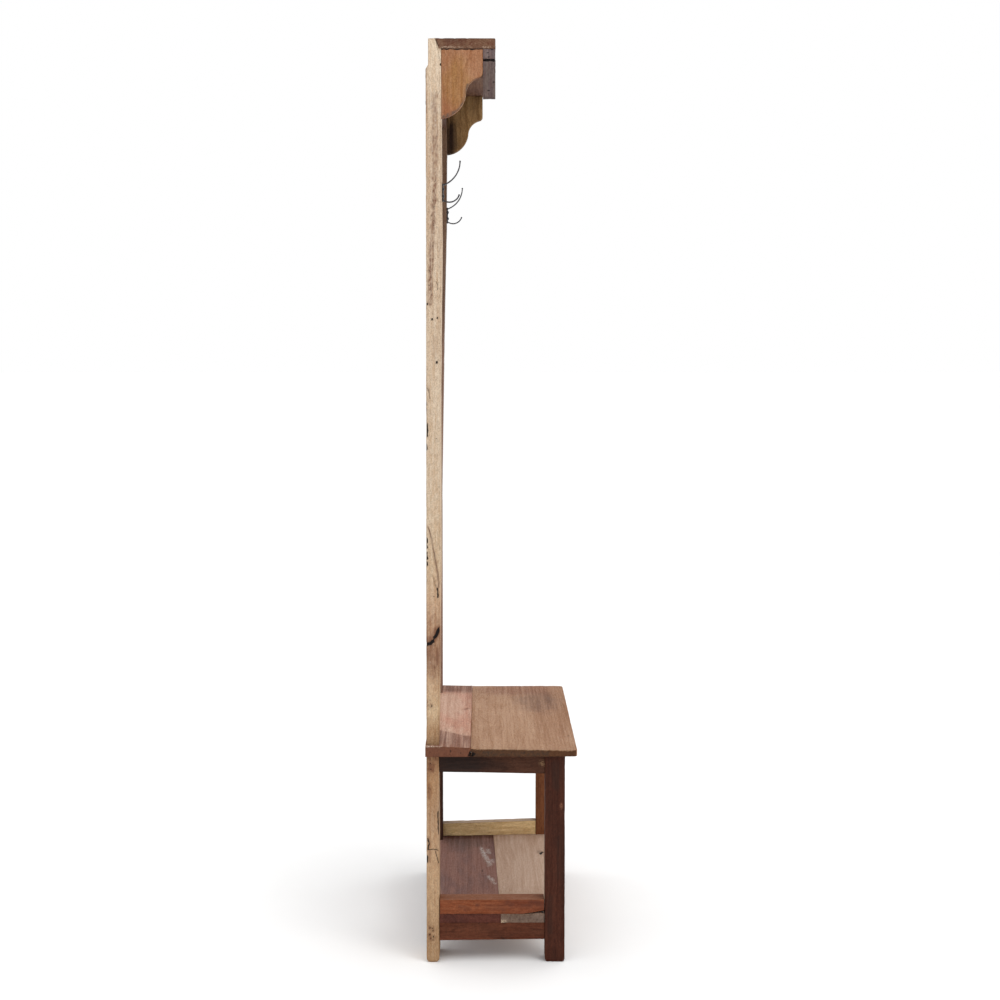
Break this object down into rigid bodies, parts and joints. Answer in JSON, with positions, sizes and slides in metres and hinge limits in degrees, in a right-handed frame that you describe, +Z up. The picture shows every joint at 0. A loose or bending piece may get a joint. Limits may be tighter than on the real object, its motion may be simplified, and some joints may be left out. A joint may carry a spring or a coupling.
{
  "type": "hall tree with bench seat",
  "caption": "Narrow hall tree of reclaimed wood: tall open posts with double coat hooks and a scrolled crown, over a bench seat with a lower shelf.",
  "frame": {"origin": "on the floor, under the middle of the object's bounding box", "axes": "+Z up; X across the width, with the left side at -X; the front, where a person sits, faces -Y"},
  "size_m": [0.634, 0.298, 1.8],
  "materials": {
    "post_wood": "dry, weathered, pale reclaimed wood with brown knots",
    "post_wood_dark": "dark brown stained reclaimed wood",
    "leg_wood": "dark red-brown hardwood, satin",
    "leg_wood_light": "orange-brown hardwood, satin",
    "seat_wood": "waxed pinkish tan boards, satin",
    "rail_wood": "dark brown hardwood, matt",
    "shelf_wood_dark": "purple-brown weathered board with pale smears",
    "shelf_wood_pale": "dry grey-tan board",
    "gallery_wood": "orange-brown wood, waxed",
    "gallery_wood_pale": "dry yellow-tan wood",
    "crown_wood": "weathered red-brown board with end grain",
    "block_wood": "purple-grey weathered wood",
    "bracket_wood": "warm tan wood, satin",
    "bracket_wood_olive": "olive-brown wood with a dark stain",
    "iron": "blackened forged iron, worn grey on its edges",
    "screw_steel": "dull zinc-plated steel"
  },
  "bodies": {
    "root": {"rear_post_left": "post_wood", "rear_post_right": "post_wood_dark", "front_leg_left": "leg_wood", "front_leg_right": "leg_wood_light", "side_apron_left": "rail_wood", "side_apron_right": "rail_wood", "front_apron": "rail_wood", "rear_apron": "rail_wood", "seat_rear_board": "seat_wood", "seat_front_board": "seat_wood", "lower_rail_left": "rail_wood", "lower_rail_right": "rail_wood", "shelf_rear_board": "shelf_wood_dark", "shelf_front_board": "shelf_wood_pale", "gallery_rail_left": "gallery_wood", "gallery_rail_right": "gallery_wood_pale", "crown_top_board": "crown_wood", "front_block_upper": "block_wood", "front_block_lower": "block_wood", "crown_bracket_left": "bracket_wood", "crown_bracket_right": "bracket_wood_olive", "top_rail": "rail_wood", "coat_hook_left": "iron", "coat_hook_right": "iron", "hook_screws": "iron", "bracket_screws": "screw_steel", "crown_nails": "screw_steel", "block_nails": "screw_steel", "seat_screws": "screw_steel", "shelf_screws": "screw_steel"}
  },
  "joints": []
}
